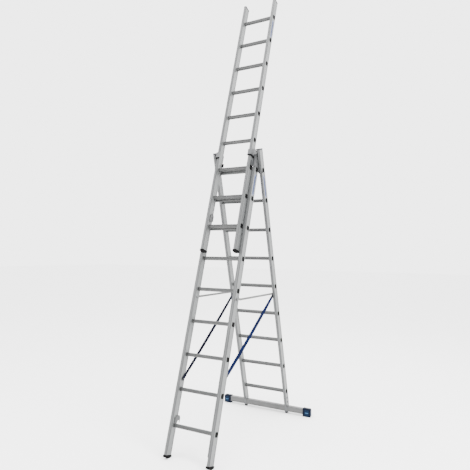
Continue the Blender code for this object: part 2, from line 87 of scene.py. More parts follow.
class Section:
    """One ladder section: its name, its body, its frame, and where its rungs and ends are."""

    def __init__(self, name, body, frame, half, line_y, top_rung_z, top_z, bottom_z):
        self.name = name
        self.body = body
        self.frame = frame
        self.half = half
        self.line_y = line_y
        self.top_rung_z = top_rung_z
        self.top_z = top_z
        self.bottom_z = bottom_z
        self.inner = half - STILE_THICKNESS
        self.stile_x = half - STILE_THICKNESS / 2
        self.stile_y = line_y - STILE_SET_FORWARD

    def rung_z(self, number):
        return self.top_rung_z - (RUNGS - number) * PITCH


FRONT = Section(
    "front", "front_section", FRONT_FRAME,
    half=0.2095, line_y=-0.0475, top_rung_z=-0.001, top_z=0.128, bottom_z=-2.4622,
)
REAR = Section(
    "rear", "rear_section", REAR_FRAME,
    half=0.2440, line_y=0.0300, top_rung_z=0.013, top_z=0.200, bottom_z=-2.379,
)
EXTENSION = Section(
    "extension", "extension_section", FRONT_FRAME,
    half=0.1760, line_y=-0.1055, top_rung_z=1.679, top_z=1.872, bottom_z=-0.782,
)

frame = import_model()

# ---------------------------------------------------------------- materials
NOISE_MIDDLE = (0.3, 0.7)
BUMP_DISTANCE = 0.0002
METAL_PATCHES = (9.0, 9.0, 3.0)
METAL_RELIEF = 0.12
PLASTIC_PATCHES = (35.0, 35.0, 35.0)
PLASTIC_RELIEF = 0.25
PLASTIC_SPECULAR = 0.06


def shader_of(material):
    return material.node_tree.nodes["Principled BSDF"]


def new_material(name, colour, roughness, metallic):
    material = bpy.data.materials.new(name)
    material.use_nodes = True
    shader = shader_of(material)
    shader.inputs["Base Color"].default_value = (*colour, 1.0)
    shader.inputs["Roughness"].default_value = roughness
    shader.inputs["Metallic"].default_value = metallic
    return material


def noise_on(material, scale, tilt=0.0, detail=3.0):
    """Noise in object coordinates, stretched by an uneven scale and tilted about X."""
    nodes = material.node_tree.nodes
    links = material.node_tree.links
    coordinates = nodes.new("ShaderNodeTexCoord")
    mapping = nodes.new("ShaderNodeMapping")
    mapping.vector_type = "TEXTURE"
    mapping.inputs["Rotation"].default_value = (tilt, 0.0, 0.0)
    mapping.inputs["Scale"].default_value = [1.0 / value for value in scale]
    noise = nodes.new("ShaderNodeTexNoise")
    noise.inputs["Scale"].default_value = 1.0
    noise.inputs["Detail"].default_value = detail
    links.new(coordinates.outputs["Object"], mapping.inputs["Vector"])
    links.new(mapping.outputs["Vector"], noise.inputs["Vector"])
    return noise.outputs["Fac"]


def spread(material, factor, low_value, high_value):
    """Maps the middle of a noise onto a range of values."""
    mapped = material.node_tree.nodes.new("ShaderNodeMapRange")
    mapped.inputs["From Min"].default_value = NOISE_MIDDLE[0]
    mapped.inputs["From Max"].default_value = NOISE_MIDDLE[1]
    mapped.inputs["To Min"].default_value = low_value
    mapped.inputs["To Max"].default_value = high_value
    material.node_tree.links.new(factor, mapped.inputs["Value"])
    return mapped.outputs["Result"]


def tint(material, factor, shades):
    """Colour between a dark and a light shade by a noise."""
    dark, light = shades
    mix = material.node_tree.nodes.new("ShaderNodeMix")
    mix.data_type = "RGBA"
    mix.inputs["A"].default_value = (*dark, 1.0)
    mix.inputs["B"].default_value = (*light, 1.0)
    links = material.node_tree.links
    links.new(factor, mix.inputs["Factor"])
    links.new(mix.outputs["Result"], shader_of(material).inputs["Base Color"])


def relief(material, factor, strength):
    bump = material.node_tree.nodes.new("ShaderNodeBump")
    bump.inputs["Strength"].default_value = strength
    bump.inputs["Distance"].default_value = BUMP_DISTANCE
    links = material.node_tree.links
    links.new(factor, bump.inputs["Height"])
    links.new(bump.outputs["Normal"], shader_of(material).inputs["Normal"])


def metal(name, shades, roughness, metallic, scale, tilt=0.0):
    """Metal with fine lines, drawn along its length where the scale says so, and a slow change of shade."""
    material = new_material(name, shades[1], roughness[0], metallic)
    lines = noise_on(material, scale, tilt)
    patches = noise_on(material, METAL_PATCHES, tilt, 2.0)
    tint(material, spread(material, patches, 0.0, 1.0), shades)
    rough = spread(material, lines, *roughness)
    material.node_tree.links.new(rough, shader_of(material).inputs["Roughness"])
    relief(material, lines, METAL_RELIEF)
    return material


def plastic(name, shades, roughness, grain=900.0):
    """Moulded plastic, or webbing with a closer grain, with a slow change of shade."""
    material = new_material(name, shades[1], roughness, 0.0)
    shade = noise_on(material, PLASTIC_PATCHES)
    tint(material, spread(material, shade, 0.0, 1.0), shades)
    relief(material, noise_on(material, (grain, grain, grain)), PLASTIC_RELIEF)
    shader_of(material).inputs["Specular IOR Level"].default_value = PLASTIC_SPECULAR
    return material


# Noise scales, with the lines along a leg, along X or in no direction.
ALONG_LEG = (700.0, 700.0, 5.0)
ALONG_X = (5.0, 700.0, 700.0)
EVEN = (80.0, 80.0, 80.0)

# Pairs of a dark and a light shade, and ranges of roughness.
SIDE_SHADES = ((0.095, 0.099, 0.099), (0.128, 0.132, 0.132))
# The front and back faces' pair is darker than the sides' by painted shade.
FACE_PAINTED_SHADE_TONES = ((0.058, 0.060, 0.061), (0.078, 0.080, 0.081))
# The edge pair is painted shade for the stiles' rounded corners and panel steps.
EDGE_PAINTED_SHADE_TONES = ((0.018, 0.019, 0.020), (0.030, 0.031, 0.032))
BAR_SHADES = ((0.055, 0.055, 0.055), (0.075, 0.075, 0.075))
RUNG_SHADES = ((0.036, 0.037, 0.037), (0.050, 0.051, 0.051))
ZINC_SHADES = ((0.060, 0.062, 0.064), (0.090, 0.092, 0.094))
HOOK_SHADES = ((0.034, 0.035, 0.036), (0.050, 0.051, 0.052))
DARK_STEEL_SHADES = ((0.010, 0.010, 0.011), (0.018, 0.018, 0.020))
BLACK_SHADES = ((0.0008, 0.0008, 0.0010), (0.0020, 0.0020, 0.0022))
GREY_SHADES = ((0.025, 0.026, 0.028), (0.035, 0.036, 0.038))
NAVY_SHADES = ((0.0006, 0.0018, 0.0065), (0.0009, 0.0032, 0.011))
BLUE_SHADES = ((0.0016, 0.007, 0.019), (0.0024, 0.010, 0.027))
# The pale blue is a painted highlight, on the shoes' ribs.
PALE_BLUE_SHADES = ((0.03, 0.075, 0.14), (0.04, 0.095, 0.17))
LABEL_SHADES = ((0.085, 0.100, 0.165), (0.100, 0.120, 0.195))
BAND_SHADES = ((0.004, 0.010, 0.045), (0.006, 0.015, 0.060))
WEBBING_SHADES = ((0.0006, 0.0022, 0.012), (0.0010, 0.0050, 0.034))
# The darker webbing: the strap ends' colour, and painted shade where the left strap wears it.
END_AND_SHADE_WEBBING_SHADES = ((0.0005, 0.001, 0.005), (0.001, 0.002, 0.009))
DRAWN = (0.34, 0.50)
LABEL_GRAIN = 300.0
WEBBING_GRAIN = 1500.0

FRONT_ALUMINIUM = metal(
    "front_aluminium", SIDE_SHADES, DRAWN, metallic=0.35, scale=ALONG_LEG, tilt=-FRONT_LEAN,
)
REAR_ALUMINIUM = metal(
    "rear_aluminium", SIDE_SHADES, DRAWN, metallic=0.35, scale=ALONG_LEG, tilt=REAR_LEAN,
)
BAR_ALUMINIUM = metal("bar_aluminium", BAR_SHADES, (0.36, 0.52), metallic=0.3, scale=ALONG_X)
RUNG_ALUMINIUM = metal("rung_aluminium", RUNG_SHADES, (0.38, 0.55), metallic=0.3, scale=ALONG_X)
# Darker finishes for the stiles' front and back faces: painted shade.
FRONT_FACE_PAINTED_SHADE_ALUMINIUM = metal(
    "front_face_aluminium", FACE_PAINTED_SHADE_TONES, DRAWN, metallic=0.35, scale=ALONG_LEG, tilt=-FRONT_LEAN,
)
REAR_FACE_PAINTED_SHADE_ALUMINIUM = metal(
    "rear_face_aluminium", FACE_PAINTED_SHADE_TONES, DRAWN, metallic=0.35, scale=ALONG_LEG, tilt=REAR_LEAN,
)
# Darker finish for the stiles' rounded corners and panel steps: painted shade.
EDGE_PAINTED_SHADE_ALUMINIUM = metal("edge_aluminium", EDGE_PAINTED_SHADE_TONES, (0.45, 0.6), metallic=0.3, scale=EVEN)
STEEL = metal("zinc_steel", ZINC_SHADES, (0.30, 0.45), metallic=0.45, scale=EVEN)
HOOK_STEEL = metal("hook_steel", HOOK_SHADES, (0.35, 0.5), metallic=0.4, scale=EVEN)
DARK_STEEL = metal("dark_steel", DARK_STEEL_SHADES, (0.35, 0.5), metallic=0.4, scale=EVEN)
BLACK = plastic("black_plastic", BLACK_SHADES, roughness=0.75)
GREY = plastic("grey_plastic", GREY_SHADES, roughness=0.6)
NAVY = plastic("navy_plastic", NAVY_SHADES, roughness=0.5)
BLUE = plastic("blue_plastic", BLUE_SHADES, roughness=0.4)
PALE_BLUE = plastic("pale_blue_plastic", PALE_BLUE_SHADES, roughness=0.3)
LABEL = plastic("blue_label", LABEL_SHADES, roughness=0.4, grain=LABEL_GRAIN)
LABEL_BAND = plastic("blue_label_band", BAND_SHADES, roughness=0.4, grain=LABEL_GRAIN)
WEBBING = plastic("blue_webbing", WEBBING_SHADES, roughness=0.8, grain=WEBBING_GRAIN)
END_AND_SHADE_WEBBING = plastic("dark_webbing", END_AND_SHADE_WEBBING_SHADES, roughness=0.8, grain=WEBBING_GRAIN)

# ---------------------------------------------------------------- shapes
SHARP_ANGLE = math.radians(32)


def rounded_rectangle(width, height, radius, steps=4, centre=(0.0, 0.0)):
    """Outline as (y, z) points."""
    points = []
    for turn, (sy, sz) in enumerate(((1, 1), (-1, 1), (-1, -1), (1, -1))):
        cy = centre[0] + sy * (width / 2 - radius)
        cz = centre[1] + sz * (height / 2 - radius)
        for step in range(steps + 1):
            angle = math.pi / 2 * (turn + step / steps)
            points.append((cy + radius * math.cos(angle), cz + radius * math.sin(angle)))
    return points


def mesh_of(name, loops, material):
    """A closed solid through loops of 3-D points, capped at both ends and smooth where it is round."""
    shape = bmesh.new()
    rings = [[shape.verts.new(point) for point in loop] for loop in loops]
    count = len(rings[0])
    for here, there in zip(rings, rings[1:]):
        for index in range(count):
            following = (index + 1) % count
            shape.faces.new((here[index], here[following], there[following], there[index]))
    shape.faces.new(rings[0])
    shape.faces.new(rings[-1])
    bmesh.ops.recalc_face_normals(shape, faces=shape.faces)
    mesh = bpy.data.meshes.new(name)
    shape.to_mesh(mesh)
    shape.free()
    mesh.materials.append(material)
    mesh.shade_smooth()
    mesh.set_sharp_from_angle(angle=SHARP_ANGLE)
    return mesh


def inset(outline, amount):
    """Moves each point of an outline towards its middle by about an amount."""
    my = sum(y for y, z in outline) / len(outline)
    mz = sum(z for y, z in outline) / len(outline)
    moved = []
    for y, z in outline:
        away = Vector((y - my, z - mz))
        kept = max(away.length - amount, 0.0) / max(away.length, 1e-9)
        moved.append((my + away.x * kept, mz + away.y * kept))
    return moved


def plate(name, outline, x_low, x_high, edge, material):
    """A plate across X with softened edges."""
    small = inset(outline, edge)
    stations = ((x_low, small), (x_low + edge, outline), (x_high - edge, outline), (x_high, small))
    loops = [[(x, y, z) for y, z in shape] for x, shape in stations]
    return mesh_of(name, loops, material)


def turned(name, profile, material, sides=20):
    """A solid turned about X from (x, radius) points."""
    turns = [2 * math.pi * side / sides for side in range(sides)]
    loops = []
    for x, radius in profile:
        loops.append([(x, radius * math.cos(turn), radius * math.sin(turn)) for turn in turns])
    return mesh_of(name, loops, material)


def block(name, size, edge, material):
    """A box about the origin with softened edges."""
    outline = rounded_rectangle(size[1], size[2], edge * 1.5, 3)
    return plate(name, outline, -size[0] / 2, size[0] / 2, edge, material)


def strip(name, points, x_span, thickness, material):
    """A bent strip across X that follows a line of (y, z) points."""
    outline = []
    for sign in (1, -1):
        row = []
        for index, (y, z) in enumerate(points):
            before = Vector(points[max(index - 1, 0)])
            after = Vector(points[min(index + 1, len(points) - 1)])
            along = (after - before).normalized()
            row.append((y - sign * along.y * thickness / 2, z + sign * along.x * thickness / 2))
        outline += row if sign > 0 else row[::-1]
    loops = [[(x, y, z) for y, z in outline] for x in sorted(x_span)]
    return mesh_of(name, loops, material)


# ---------------------------------------------------------------- placing
SIDES = (("left", -1), ("right", 1))
FACING_RIGHT = Matrix.Identity(4)
FACING_LEFT = Matrix.Rotation(math.pi, 4, "Z")


def facing(side):
    return FACING_RIGHT if side > 0 else FACING_LEFT


def at(section, x, y, z, turn=FACING_RIGHT):
    return section.frame @ Matrix.Translation((x, y, z)) @ turn


def put(name, mesh, body, matrix):
    piece = bpy.data.objects.new(name, mesh)
    bpy.context.scene.collection.objects.link(piece)
    piece.matrix_world = matrix
    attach(piece, body)
    return piece


# ---------------------------------------------------------------- finishes of the CAD nodes
SOFTENED = {
    "foot": 0.0016,
    "top_cap": 0.002,
    "shoe": 0.004,
    "guide": 0.0006,
    "hinge_plate": 0.0008,
    "hook": 0.0009,
    "spreader_strut": 0.0006,
}
SOFTENED_ANGLE = math.radians(40)
# Shares of a stile's unit normals that tell its corners and steps, and its front and back, apart.
SLANTED = 0.3
LEVEL = 0.2
SQUARE_ON = 0.9


def finish_of(node):
    if "stile" in node:
        return REAR_ALUMINIUM if node.startswith("rear") else FRONT_ALUMINIUM
    if node == "traverse_bar" or node.startswith("spreader_strut"):
        return BAR_ALUMINIUM
    if "_rung_" in node:
        return RUNG_ALUMINIUM
    if "front_top_cap" in node:
        return GREY
    if "foot" in node or "top_cap" in node:
        return BLACK
    if "shoe" in node:
        return NAVY
    if "strap" in node:
        return WEBBING
    if "hook" in node:
        return HOOK_STEEL
    return STEEL


def paint_stile_shade(piece, lean, painted_shade_finish):
    """Paints shade on a stile: darker finishes on its front and back, its rounded corners and its panel
    steps.
    """
    piece.data.materials.append(EDGE_PAINTED_SHADE_ALUMINIUM)
    piece.data.materials.append(painted_shade_finish)
    upright = Matrix.Rotation(-lean, 3, "X")
    for face in piece.data.polygons:
        normal = upright @ face.normal
        if abs(normal.x) > SLANTED and abs(normal.y) > SLANTED and abs(normal.z) < LEVEL:
            face.material_index = 1
        elif abs(normal.y) > SQUARE_ON:
            face.material_index = 2


def soften(piece, width):
    bevel = piece.modifiers.new("softened", "BEVEL")
    bevel.width = width
    bevel.segments = 3
    bevel.limit_method = "ANGLE"
    bevel.angle_limit = SOFTENED_ANGLE
    bevel.harden_normals = False


for node, piece in frame["nodes"].items():
    piece.data.materials.clear()
    piece.data.materials.append(finish_of(node))
    # Stiles get painted shade on their front and back, their rounded corners and their panel steps.
    if node.startswith("rear_stile"):
        paint_stile_shade(piece, REAR_LEAN, REAR_FACE_PAINTED_SHADE_ALUMINIUM)
    elif "stile" in node:
        paint_stile_shade(piece, -FRONT_LEAN, FRONT_FACE_PAINTED_SHADE_ALUMINIUM)
    for word, width in SOFTENED.items():
        if word in node:
            soften(piece, width)

# ---------------------------------------------------------------- rungs and their plugs
RUNG_WIDTH = 0.030
RUNG_CORNER = 0.0070
RUNG_CORNER_STEPS = 4
RUNG_CLEARANCE = 0.00002
GROOVES = 3
GROOVE_DEPTH = 0.0017
# Across one groove: the share of its pitch, and the share of its depth there.
GROOVE_PROFILE = ((0.15, 0.0), (0.30, 1.0), (0.62, 1.0), (0.80, 0.0))
# Along the collar: the distance from the rung's end, and the outline's scale there.
COLLAR = ((0.0, 1.05), (0.0008, 1.08), (0.0018, 1.06), (0.0028, 1.0))
PLUG_WIDTH = 0.037
PLUG_HEIGHT = 0.039
PLUG_CORNER = 0.009
# From the plug's rim to its middle: the height over the stile, and the inset of the outline.
PLUG_RINGS = (
    (0.0, 0.0), (0.0016, 0.0), (0.0025, 0.0012), (0.0025, 0.0035), (0.0014, 0.0050), (0.0012, 0.0100),
)


def ribbed_outline():
    """The outline of a rung, which is a square tube with lengthwise grooves in its four faces."""
    half = RUNG_WIDTH / 2
    flat = half - RUNG_CORNER
    pitch = 2 * flat / GROOVES
    face = []
    for groove in range(GROOVES):
        start = -flat + pitch * groove
        face += [(half - GROOVE_DEPTH * depth, start + pitch * share) for share, depth in GROOVE_PROFILE]
    for step in range(RUNG_CORNER_STEPS + 1):
        angle = math.pi / 2 * step / RUNG_CORNER_STEPS
        face.append((flat + RUNG_CORNER * math.cos(angle), flat + RUNG_CORNER * math.sin(angle)))
    points = []
    for cosine, sine in ((1, 0), (0, 1), (-1, 0), (0, -1)):
        points += [(a * cosine - b * sine, a * sine + b * cosine) for a, b in face]
    return points


def rung_mesh(section):
    """A ribbed tube with a pressed collar against each stile."""
    reach = section.inner - RUNG_CLEARANCE
    stations = [(-reach + depth, share) for depth, share in COLLAR]
    stations += [(reach - depth, share) for depth, share in reversed(COLLAR)]
    outline = ribbed_outline()
    loops = [[(x, y * share, z * share) for y, z in outline] for x, share in stations]
    return mesh_of(section.name + "_rung_look", loops, RUNG_ALUMINIUM)


def plug_mesh():
    """A black end plug with a raised rim and a shallow middle."""
    outline = rounded_rectangle(PLUG_WIDTH, PLUG_HEIGHT, PLUG_CORNER, 5)
    loops = [[(x, y, z) for y, z in inset(outline, amount)] for x, amount in PLUG_RINGS]
    return mesh_of("plug_look", loops, BLACK)


PLUG = plug_mesh()

for section in (FRONT, REAR, EXTENSION):
    rung = rung_mesh(section)
    for number in range(1, RUNGS + 1):
        z = section.rung_z(number)
        name = f"{section.name}_rung_look_{number}"
        tube = put(name, rung, section.body, at(section, 0.0, section.line_y, z))
        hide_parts(f"{section.name}_rung_{number}")
        for side_name, side in SIDES:
            name = f"{section.name}_plug_{side_name}_{number}"
            place = at(section, side * section.half, section.line_y, z, facing(side))
            put(name, PLUG, section.body, place)

# ---------------------------------------------------------------- rivets and bolts
RIVET = turned(
    "rivet_look",
    [(0.0, 0.0046), (0.0006, 0.0048), (0.0014, 0.0040), (0.0020, 0.0024), (0.0022, 0.0006)],
    STEEL,
)
BOLT = turned(
    "bolt_look",
    [(0.0, 0.0095), (0.0012, 0.0095), (0.0014, 0.0070), (0.0042, 0.0068), (0.0050, 0.0058),
     (0.0050, 0.0030), (0.0034, 0.0028), (0.0034, 0.0004)],
    DARK_STEEL, 24,
)
HINGE_CAP = turned(
    "hinge_cap_look",
    [(0.0, 0.0060), (0.0010, 0.0064), (0.0022, 0.0056), (0.0030, 0.0030), (0.0032, 0.0005)],
    BLACK, 24,
)
# Rivets as (y, z) in the front section's frame.
HINGE_RIVETS = ((-0.066, 0.040), (-0.066, 0.080), (-0.032, 0.066))
GUIDE_RIVETS = ((-0.070, 0.120), (-0.034, 0.045), (-0.034, 0.120))
# The hooks' rivets as (y, z) from the middle of the lowest rung.
FRONT_HOOK_RIVETS = ((-0.001, 0.040),)
EXTENSION_HOOK_RIVETS = ((0.0, 0.058), (0.0, 0.098))
# The height of a foot's rivet over the end of its stile.
FOOT_RIVET = 0.014
HINGE_PLATE_X = 0.2138
GUIDE_X = FRONT.inner - 0.0033
# A hook's thickness with its gap to the stile, and how far the hinge bolt's head stands out.
HOOK_PLATE = 0.0043
BOLT_HEAD = 0.0039
BAR_BOLTS_Z = (-2.300, -2.345)


def rivets(name, section, side, spots, x, outward):
    turn = facing(side if outward else -side)
    for index, (y, z) in enumerate(spots, 1):
        put(f"{name}_{index}", RIVET, section.body, at(section, side * x, y, z, turn))


for side_name, side in SIDES:
    rivets(f"hinge_rivet_{side_name}", FRONT, side, HINGE_RIVETS, HINGE_PLATE_X, True)
    rivets(f"guide_rivet_{side_name}", FRONT, side, GUIDE_RIVETS, GUIDE_X, False)
    for section, offsets in ((FRONT, FRONT_HOOK_RIVETS), (EXTENSION, EXTENSION_HOOK_RIVETS)):
        spots = [(section.line_y + y, section.rung_z(1) + z) for y, z in offsets]
        name = f"{section.name}_hook_rivet_{side_name}"
        rivets(name, section, side, spots, section.inner - HOOK_PLATE, False)
    for section in (FRONT, EXTENSION):
        spots = [(section.stile_y, section.bottom_z + FOOT_RIVET)]
        name = f"{section.name}_foot_rivet_{side_name}"
        rivets(name, section, side, spots, section.half - PANEL_RECESS, True)
    cap = at(REAR, side * (REAR.half + BOLT_HEAD), 0.0, 0.0, facing(side))
    put(f"hinge_cap_{side_name}", HINGE_CAP, REAR.body, cap)
    for number, z in enumerate(BAR_BOLTS_Z, 1):
        place = at(REAR, side * (REAR.half - PANEL_RECESS), REAR.stile_y, z, facing(side))
        put(f"traverse_bolt_{side_name}_{number}", BOLT, REAR.body, place)

# ---------------------------------------------------------------- labels on the right stiles
LABEL_BELOW_TOP_RUNG = 0.050
LABEL_LENGTH = 0.198
LABEL_WIDTH = 0.028
BAND_LENGTH = LABEL_LENGTH * 0.86
BAND_WIDTH = LABEL_WIDTH * 0.46
# Where the label and its band begin and end, out of the panel.
LABEL_SPAN = (0.0, 0.0004)
BAND_SPAN = (0.0002, 0.0006)


def label(section):
    """A plain pale strip in a stile's recessed panel, with a dark band along its middle."""
    name = f"{section.name}_label"
    middle = section.top_rung_z - LABEL_BELOW_TOP_RUNG - LABEL_LENGTH / 2
    place = at(section, section.half - PANEL_RECESS, section.stile_y, middle)
    outline = rounded_rectangle(LABEL_WIDTH, LABEL_LENGTH, 0.003, 3)
    pale = plate(name, outline, *LABEL_SPAN, 0.0001, LABEL)
    put(name, pale, section.body, place)
    outline = rounded_rectangle(BAND_WIDTH, BAND_LENGTH, 0.002, 3)
    band = plate(name + "_band", outline, *BAND_SPAN, 0.0001, LABEL_BAND)
    put(name + "_band", band, section.body, place)


for section in (EXTENSION, FRONT, REAR):
    label(section)

# ---------------------------------------------------------------- front stiles: lips beside the extension
LIP_LOW = FRONT.bottom_z + 0.060
LIP_HIGH = 0.015
LIP_SIZE = (0.0048, 0.0030, LIP_HIGH - LIP_LOW)
LIP_X = FRONT.inner - 0.0018
LIP_Y = FRONT.stile_y - STILE_DEPTH / 2 + 0.0020

# The lips take the front faces' darker finish, which is painted shade.
for side_name, side in SIDES:
    lip = block(f"stile_lip_{side_name}", LIP_SIZE, 0.0006, FRONT_FACE_PAINTED_SHADE_ALUMINIUM)
    place = at(FRONT, side * LIP_X, LIP_Y, (LIP_LOW + LIP_HIGH) / 2)
    put(f"stile_lip_{side_name}", lip, FRONT.body, place)

# ---------------------------------------------------------------- head: guides, spacers, rear caps
FRONT_LINER_SIZE = (0.036, 0.0022, 0.058)
FRONT_LINER_SPOT = (0.1645, -0.1473, 0.137)
SIDE_LINER_WIDTH = 0.052
SIDE_LINER_HEIGHT = 0.070
SIDE_LINER_THICKNESS = 0.0020
SIDE_LINER_SPOT = (FRONT.inner - 0.0034, -0.1180, 0.135)
RIM_THICKNESS = 0.0110
SIDE_RIM_EDGE = ((-0.1530, 0.1072), (-0.1200, 0.1066), (-0.0882, 0.1074))
SIDE_RIM_X = (FRONT.inner - 0.0050, FRONT.inner + 0.0016)
FRONT_RIM_EDGE = ((-0.1536, 0.1072), (-0.1482, 0.1072))
FRONT_RIM_X = (0.1450, FRONT.inner - 0.0052)
TAB_SIZE = (0.046, 0.0060, 0.038)
TAB_SPOT = (0.1582, -0.0690, 0.062)
REAR_CAP_SIZE = (0.0345, 0.0725, 0.012)
REAR_CAP_SPOT = (REAR.half - 0.0172, REAR.stile_y, REAR.top_z + 0.0058)
SPACER_SIZE = (0.0088, 0.050, 0.062)
SPACER_SPOT = (REAR.inner - 0.0042, REAR.stile_y - 0.008, REAR.top_z - 0.033)


def mirrored(section, side, spot, turn=FACING_RIGHT):
    """A place on one side of a section, from the spot of its right-hand twin."""
    x, y, z = spot
    return at(section, side * x, y, z, turn)


def guide_rim(name, side, edge, x_span):
    """A black edging round the mouth of a guide bracket."""
    rim = strip(name, edge, [side * x for x in x_span], RIM_THICKNESS, BLACK)
    put(name, rim, FRONT.body, FRONT.frame.copy())


for side_name, side in SIDES:
    liner = block(f"guide_liner_front_{side_name}", FRONT_LINER_SIZE, 0.0006, BLACK)
    place = mirrored(FRONT, side, FRONT_LINER_SPOT)
    put(f"guide_liner_front_{side_name}", liner, FRONT.body, place)
    outline = rounded_rectangle(SIDE_LINER_WIDTH, SIDE_LINER_HEIGHT, 0.003, 3)
    liner = plate(f"guide_liner_side_{side_name}", outline, 0.0, SIDE_LINER_THICKNESS, 0.0005, BLACK)
    place = mirrored(FRONT, side, SIDE_LINER_SPOT, facing(-side))
    put(f"guide_liner_side_{side_name}", liner, FRONT.body, place)
    guide_rim(f"guide_rim_{side_name}", side, SIDE_RIM_EDGE, SIDE_RIM_X)
    guide_rim(f"guide_rim_front_{side_name}", side, FRONT_RIM_EDGE, FRONT_RIM_X)
    tab = block(f"guide_tab_{side_name}", TAB_SIZE, 0.0018, BLACK)
    put(f"guide_tab_{side_name}", tab, FRONT.body, mirrored(FRONT, side, TAB_SPOT))
    cap = block(f"rear_top_cap_{side_name}", REAR_CAP_SIZE, 0.0018, GREY)
    place = mirrored(REAR, side, REAR_CAP_SPOT)
    put(f"rear_top_cap_{side_name}", cap, REAR.body, place)
    spacer = block(f"rear_spacer_{side_name}", SPACER_SIZE, 0.002, BLACK)
    place = mirrored(REAR, side, SPACER_SPOT)
    put(f"rear_spacer_{side_name}", spacer, REAR.body, place)

# ---------------------------------------------------------------- foot bar: lips, buffers, clamps
bar_low, bar_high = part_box("traverse_bar")
BAR_Y = (bar_low.y + bar_high.y) / 2
BAR_HALF_DEPTH = (bar_high.y - bar_low.y) / 2
BAR_LIP_LENGTH = 0.818
# Each lip's name, middle height, height and how far it stands out.
BAR_LIPS = (
    ("low", bar_low.z + 0.0022, 0.0040, 0.0022),
    ("high", bar_high.z - 0.0090, 0.0022, 0.0012),
)
BUFFER_SIZE = (0.022, 0.040, 0.017)
BUFFER_Z = 0.0087
CLAMP_HALF_WIDTH = 0.011
CLAMP_GAP = 0.0022
CLAMP_THICKNESS = 0.0034
FRONT_AND_BACK = (("front", -1), ("back", 1))


def bar_buffer(side_name, side):
    """A pad between the bar and the floor, in line with a rear stile."""
    buffer = block(f"bar_buffer_{side_name}", BUFFER_SIZE, 0.002, GREY)
    place = Matrix.Translation((side * REAR.stile_x, BAR_Y, BUFFER_Z))
    put(f"bar_buffer_{side_name}", buffer, REAR.body, place)


def bar_clamp(side_name, side):
    """A U-shaped steel strap under and round the bar, at a rear stile."""
    x = side * REAR.stile_x
    reach = BAR_HALF_DEPTH + CLAMP_GAP
    clamp_top = bar_high.z - 0.001
    clamp_bottom = bar_low.z - CLAMP_GAP
    edge = [
        (BAR_Y - reach, clamp_top), (BAR_Y - reach, clamp_bottom),
        (BAR_Y + reach, clamp_bottom), (BAR_Y + reach, clamp_top),
    ]
    x_span = (x - CLAMP_HALF_WIDTH, x + CLAMP_HALF_WIDTH)
    clamp = strip(f"bar_clamp_{side_name}", edge, x_span, CLAMP_THICKNESS, STEEL)
    put(f"bar_clamp_{side_name}", clamp, REAR.body, Matrix.Identity(4))


for face_name, y_side in FRONT_AND_BACK:
    for lip_name, z, height, proud in BAR_LIPS:
        name = f"bar_lip_{face_name}_{lip_name}"
        lip = block(name, (BAR_LIP_LENGTH, proud * 2, height), 0.0005, BAR_ALUMINIUM)
        place = Matrix.Translation((0.0, BAR_Y + y_side * BAR_HALF_DEPTH, z))
        put(name, lip, REAR.body, place)

# ---------------------------------------------------------------- end shoes with their panels and painted highlight ribs
SHOE_START = 0.4105
SHOE_LENGTH = 0.0775
SHOE_WIDTH = 0.0515
SHOE_HEIGHT = 0.0810
SHOE_CORNER = 0.009
# Along the shoe: the distance from its inner end, its width, its height and its height off the floor.
SHOE_SECTIONS = (
    (0.0, 0.0500, 0.0780, 0.0012), (0.0015, 0.0545, 0.0826, 0.0002), (0.0080, 0.0545, 0.0826, 0.0002),
    (0.0095, SHOE_WIDTH, SHOE_HEIGHT, 0.0002), (0.0680, SHOE_WIDTH, SHOE_HEIGHT, 0.0002),
    (0.0735, 0.0495, 0.0785, 0.0014), (0.0765, 0.0445, 0.0735, 0.0039),
    (SHOE_LENGTH, 0.0390, 0.0680, 0.0066),
)
SHOE_END = SHOE_START + SHOE_LENGTH
# The raised lip's length, which the panels on the sides keep clear of.
SHOE_LIP = 0.008
END_PANEL_SIZE = (SHOE_WIDTH - 0.016, SHOE_HEIGHT - 0.018)
SIDE_PANEL_SIZE = (SHOE_LENGTH - 0.030, SHOE_HEIGHT - 0.022)
# Where a panel begins and ends, out of the shoe.
PANEL_SPAN = (-0.001, 0.0009)
# The pale rib on a shoe's front and back is a painted highlight.
HIGHLIGHT_RIB_SIZE = (0.004, 0.034, 0.007)


def shoe_mesh():
    """An end shoe with a raised lip where the bar enters and a rounded outer end."""
    loops = []
    for x, width, height, low_z in SHOE_SECTIONS:
        outline = rounded_rectangle(width, height, SHOE_CORNER, 5, (0.0, low_z + height / 2))
        loops.append([(x, y, z) for y, z in outline])
    return mesh_of("shoe_look", loops, NAVY)


def shoe_panel(name, size, place):
    """A blue panel that stands a little out of the shoe."""
    outline = rounded_rectangle(*size, 0.005, 4)
    panel = plate(name, outline, *PANEL_SPAN, 0.0006, BLUE)
    put(name, panel, REAR.body, place)


